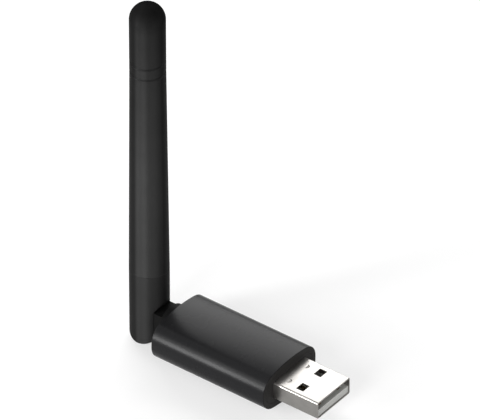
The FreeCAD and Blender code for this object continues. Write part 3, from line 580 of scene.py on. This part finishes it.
class STICK_OT_housing(bpy.types.Operator):
    """Finish the housing and its front cap"""
    bl_idname = "stick.housing"
    bl_label = "Housing"

    def execute(self, context):
        size, colour = sizes(), colours()
        # ABS from a spark-eroded tool: satin, with a soft wide highlight. Its grain, and the cap's, is drawn
        # at twice its real size, so that it shows.
        satin = moulded("abs_spark_eroded", colour.housing, roughness=0.27, gloss=0.073,
                        grain=size.housing_grain, depth=0.003 * MM)
        shell = softened_copy("housing_sleeve", "housing_shell", satin, "stick", "housing_plastic")
        # ABS from a blasted tool face: dull, so that cap and sleeve end read as one dark face
        dull = moulded("abs_blasted", colour.cap, roughness=0.6, gloss=0.08,
                       grain=size.housing_grain, depth=0.004 * MM)
        face_finish(shell, (1, 0, 0), dull)
        softened_copy("front_cap", "housing_front_cap", dull, "stick", "cap_plastic", size.edge_break)
        return {"FINISHED"}


class STICK_OT_plug(bpy.types.Operator):
    """Finish the plug's shell, tongue and contacts"""
    bl_idname = "stick.plug"
    bl_label = "Plug"

    def execute(self, context):
        size, colour = sizes(), colours()
        # Rolled steel strip with bright tin plating: mirrors softly, with hair-fine lines along the plug
        steel = sheet_metal("steel_rolled_tin_plated", colour.plating, roughness=0.34, depth=PLUG_DEPTH)
        softened_copy("usb_shell", "plug_shell", steel, "stick", "plug_steel", size.sheet_edge)
        # Nylon from a polished tool: pale and smooth, with an even gloss
        nylon = moulded("nylon_polished_tool", colour.insulator, roughness=0.4, gloss=0.5,
                        grain=0.3 * MM, depth=0.001 * MM, spread=0.02)
        softened_copy("usb_insulator", "plug_tongue", nylon, "stick", "plug_insulator", size.sheet_edge)
        # Stamped bronze under thin gold: a pale, greyish gold that mirrors softly
        gold = sheet_metal("bronze_stamped_gold_plated", linear("b9a27c"), roughness=0.3, depth=PLUG_DEPTH)
        for node in CONTACT_NODES:
            coat_node(node, gold)
        return {"FINISHED"}


class STICK_OT_inside(bpy.types.Operator):
    """Give the board, its parts, the leads and the radiator their materials"""
    bl_idname = "stick.inside"
    bl_label = "Inside"

    def execute(self, context):
        # Moulded epoxy with silica filler: dark, dry and faintly speckled
        resin = moulded("epoxy_transfer_moulded", linear("1f1f21"), roughness=0.6, gloss=0.4,
                        grain=0.12 * MM, depth=0.004 * MM, spread=0.25)
        # Extruded fluoropolymer jacket: brown, smooth and waxy
        jacket = moulded("fluoropolymer_extruded", linear("5a3a26"), roughness=0.3, gloss=0.5,
                         grain=0.3 * MM, depth=0.002 * MM)
        # Turned brass under gold: a deep warm yellow with small bright highlights
        gold = sheet_metal("brass_turned_gold_plated", linear("d4a24a"), roughness=0.28, depth=INNER_DEPTH)
        # Rolled spring steel: a cool mid grey with a satin shine
        spring = sheet_metal("spring_steel_rolled", linear("8e8f92"), roughness=0.35, depth=INNER_DEPTH)
        # Drawn brass: a browner yellow with a satin shine
        brass = sheet_metal("brass_drawn", linear("b98f45"), roughness=0.3, depth=INNER_DEPTH)
        # Stamped nickel silver: pale grey with a satin shine
        shield = sheet_metal("nickel_silver_stamped", linear("b9bab8"), roughness=0.32, depth=INNER_DEPTH)
        # Ground nickel-iron: light grey, faintly warm and evenly lined
        lid = sheet_metal("nickel_iron_lid_ground", linear("c4c2bc"), roughness=0.3, depth=INNER_DEPTH)
        # Natural polypropylene: milky white and half dull
        natural = moulded("polypropylene_natural", linear("dcdcd6"), roughness=0.45, gloss=0.4,
                          grain=0.3 * MM, depth=0.002 * MM)
        board = board_laminate()
        # Sintered ceramic: matt tan with a fine mottle
        ceramic = moulded("ceramic_sintered", linear("b08d64"), roughness=0.5, gloss=0.5,
                          grain=0.1 * MM, depth=0.002 * MM, spread=0.12)
        # Glass coat fired over a resistor: dark and shiny
        glass = moulded("glass_coat_fired", linear("161718"), roughness=0.25, gloss=0.5,
                        grain=0.2 * MM, depth=0.002 * MM, spread=0.1)
        coated = {
            "circuit_board": board, "shield_can": shield, "radio_crystal": lid,
            "chip_capacitors": ceramic, "chip_resistors": glass, "whip_spacer": natural,
        }
        for nodes, material in ((GOLD_NODES, gold), (SPRING_NODES, spring), (CHIP_NODES, resin),
                                (LEAD_NODES, jacket), (BRASS_NODES, brass)):
            coated.update(dict.fromkeys(nodes, material))
        for node, material in coated.items():
            coat_node(node, material)
        return {"FINISHED"}


class STICK_OT_swivel(bpy.types.Operator):
    """Finish the swivel collar"""
    bl_idname = "stick.swivel"
    bl_label = "Swivel"

    def execute(self, context):
        size = sizes()
        # Acetal from a lightly blasted tool: dense black and dull. Its grain is drawn as coarse as the
        # housing's, so that it shows.
        acetal = moulded("acetal_blasted_tool", colours().collar, roughness=0.5, gloss=0.02,
                         grain=size.housing_grain, depth=0.003 * MM)
        softened_copy("swivel_collar", "collar", acetal, "swivel", "collar_plastic", size.edge_break)
        return {"FINISHED"}


class STICK_OT_antenna(bpy.types.Operator):
    """Build the antenna's tube and finish its base"""
    bl_idname = "stick.antenna"
    bl_label = "Antenna"

    def execute(self, context):
        low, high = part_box("antenna_radome")
        axis_x, radius = (low[0] + high[0]) / 2, (high[1] - low[1]) / 2
        # The base comes from a blasted tool and the tube from a turned one, which leaves it more sheen
        blasted = antenna_plastic("elastomer_blasted_tool", axis_x, high[2], sheen=0.31)
        fork = softened_copy("antenna_base", "antenna_fork", blasted, "antenna", "antenna_base_plastic",
                             sizes().edge_break)
        round_normals(fork, axis_x, radius)
        turned = antenna_plastic("elastomer_turned_tool", axis_x, high[2], sheen=0.41)
        build_tube(turned)
        return {"FINISHED"}


class STICK_OT_stage(bpy.types.Operator):
    """Set up the floor, lamps, world and camera"""
    bl_idname = "stick.stage"
    bl_label = "Stage"

    def execute(self, context):
        scene = context.scene
        build_floor(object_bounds()[0][2])
        build_world(scene)
        # The housing's top mirrors the back panel, and its long side the low left panel and the glow over it.
        # The key lights the antenna's left side, and the front panel the cap and the inside of the plug.
        add_lamp("back_panel", (-0.485, 0.634, 0.52), width=1.1, height=0.55, radiance=4.75)
        add_lamp("key_panel", (0.13, -0.9, 0.3), width=0.35, height=0.6, radiance=9.0)
        add_lamp("left_panel", (-0.485, -0.86, 0.12), width=0.18, height=0.36, radiance=37.0)
        add_lamp("left_glow", (-0.485, -0.8, 0.48), width=0.18, height=0.3, radiance=9.0)
        add_lamp("front_panel", (0.9, -0.25, 0.4), width=0.5, height=0.5, radiance=3.0)
        build_camera(scene)
        scene.view_settings.view_transform = "Standard"
        return {"FINISHED"}


def seen_or_mirrored(tree):
    """1 for rays from the camera, off mirrors and through glass, and 0 for the light on the object."""
    path = add_node(tree, "ShaderNodeLightPath").outputs
    seen = add_node(tree, "ShaderNodeMath", {"operation": "MAXIMUM"},
                    {0: path["Is Camera Ray"], 1: path["Is Glossy Ray"]}).outputs[0]
    return add_node(tree, "ShaderNodeMath", {"operation": "MAXIMUM"},
                    {0: seen, 1: path["Is Transmission Ray"]}).outputs[0]


def build_floor(z):
    """Pale floor under the object, lifted to white where it is seen or mirrored."""
    shape = bmesh.new()
    bmesh.ops.create_grid(shape, x_segments=1, y_segments=1, size=FLOOR_REACH,
                          matrix=Matrix.Translation((0, 0, z)))
    mesh = bpy.data.meshes.new("floor")
    shape.to_mesh(mesh)
    shape.free()
    material, tree, shader = new_material("painted_board", linear("bfbfbf"), roughness=0.9)
    shader.inputs["Specular IOR Level"].default_value = 0.0
    shader.inputs["Emission Color"].default_value = (1, 1, 1, 1)
    lift = add_node(tree, "ShaderNodeMath", {"operation": "MULTIPLY"},
                    {0: seen_or_mirrored(tree), 1: FLOOR_LIFT}).outputs[0]
    tree.links.new(lift, shader.inputs["Emission Strength"])
    mesh.materials.append(material)
    new_piece("floor", mesh)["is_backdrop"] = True


def build_world(scene):
    """White surroundings to the camera and in reflections, and a dim even light on the object."""
    world = bpy.data.worlds.new("studio")
    scene.world = world
    world.use_nodes = True
    tree = world.node_tree
    tree.nodes.clear()
    dim = add_node(tree, "ShaderNodeBackground", inputs={"Color": (*linear("616161"), 1)})
    white = add_node(tree, "ShaderNodeBackground", inputs={"Color": (1, 1, 1, 1)})
    either = add_node(tree, "ShaderNodeMixShader", inputs={
        0: seen_or_mirrored(tree), 1: dim.outputs[0], 2: white.outputs[0]})
    add_node(tree, "ShaderNodeOutputWorld", inputs={"Surface": either.outputs[0]})


def add_lamp(name, direction, width, height, radiance):
    """Soft box of an even radiance, in a direction from the lamps' common middle and facing it."""
    data = bpy.data.lights.new(name, "AREA")
    data.shape = "RECTANGLE"
    data.size = width
    data.size_y = height
    data.energy = radiance * math.pi * width * height
    lamp = bpy.data.objects.new(name, data)
    bpy.context.scene.collection.objects.link(lamp)
    back = Vector(direction).normalized()
    turn = back.to_track_quat("Z", "Y").to_matrix().to_4x4()
    lamp.matrix_world = Matrix.Translation(LAMP_CENTRE + back * LAMP_DISTANCE) @ turn


def build_camera(scene):
    """Camera at the photograph's viewing angle, moved sideways and up so that the frame is the same."""
    data = bpy.data.cameras.new("camera")
    data.sensor_width = SENSOR_WIDTH_MM
    data.lens = CAMERA_FOCUS_PX / IMAGE_WIDTH_PX * SENSOR_WIDTH_MM
    data.clip_start = CAMERA_NEAR
    data.clip_end = CAMERA_FAR
    camera = bpy.data.objects.new("camera", data)
    scene.collection.objects.link(camera)
    az, el = CAMERA_AZIMUTH, CAMERA_ELEVATION
    right = Vector((math.cos(az), math.sin(az), 0))
    back = Vector((math.sin(az) * math.cos(el), -math.cos(az) * math.cos(el), math.sin(el)))
    up = back.cross(right)
    place = Vector((CAMERA_TARGET_X, 0, 0)) + back * CAMERA_DISTANCE - right * CAMERA_SIDE - up * CAMERA_LIFT
    turn = Matrix((right, up, back)).transposed().to_4x4()
    camera.matrix_world = Matrix.Translation(place) @ turn
    scene.camera = camera


OPERATORS = (
    STICK_OT_housing, STICK_OT_plug, STICK_OT_inside, STICK_OT_swivel, STICK_OT_antenna, STICK_OT_stage,
)


class STICK_PT_panel(bpy.types.Panel):
    """Sidebar panel with the sizes, the colours and a button for each group of pieces"""
    bl_label = "Radio stick"
    bl_idname = "STICK_PT_panel"
    bl_space_type = "VIEW_3D"
    bl_region_type = "UI"
    bl_category = "Radio stick"

    def draw(self, context):
        for group in (context.scene.stick_sizes, context.scene.stick_colours):
            for key in group.__annotations__:
                self.layout.prop(group, key)
        for operator in OPERATORS:
            self.layout.operator(operator.bl_idname)


CLASSES = (StickSizes, StickColours) + OPERATORS + (STICK_PT_panel,)


def register():
    for cls in CLASSES:
        bpy.utils.register_class(cls)
    bpy.types.Scene.stick_sizes = PointerProperty(type=StickSizes)
    bpy.types.Scene.stick_colours = PointerProperty(type=StickColours)


def unregister():
    del bpy.types.Scene.stick_colours
    del bpy.types.Scene.stick_sizes
    for cls in reversed(CLASSES):
        bpy.utils.unregister_class(cls)


def main():
    register()
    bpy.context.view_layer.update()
    bpy.ops.stick.housing()
    bpy.ops.stick.plug()
    bpy.ops.stick.inside()
    bpy.ops.stick.swivel()
    bpy.ops.stick.antenna()
    bpy.ops.stick.stage()


if __name__ == "__main__":
    main()
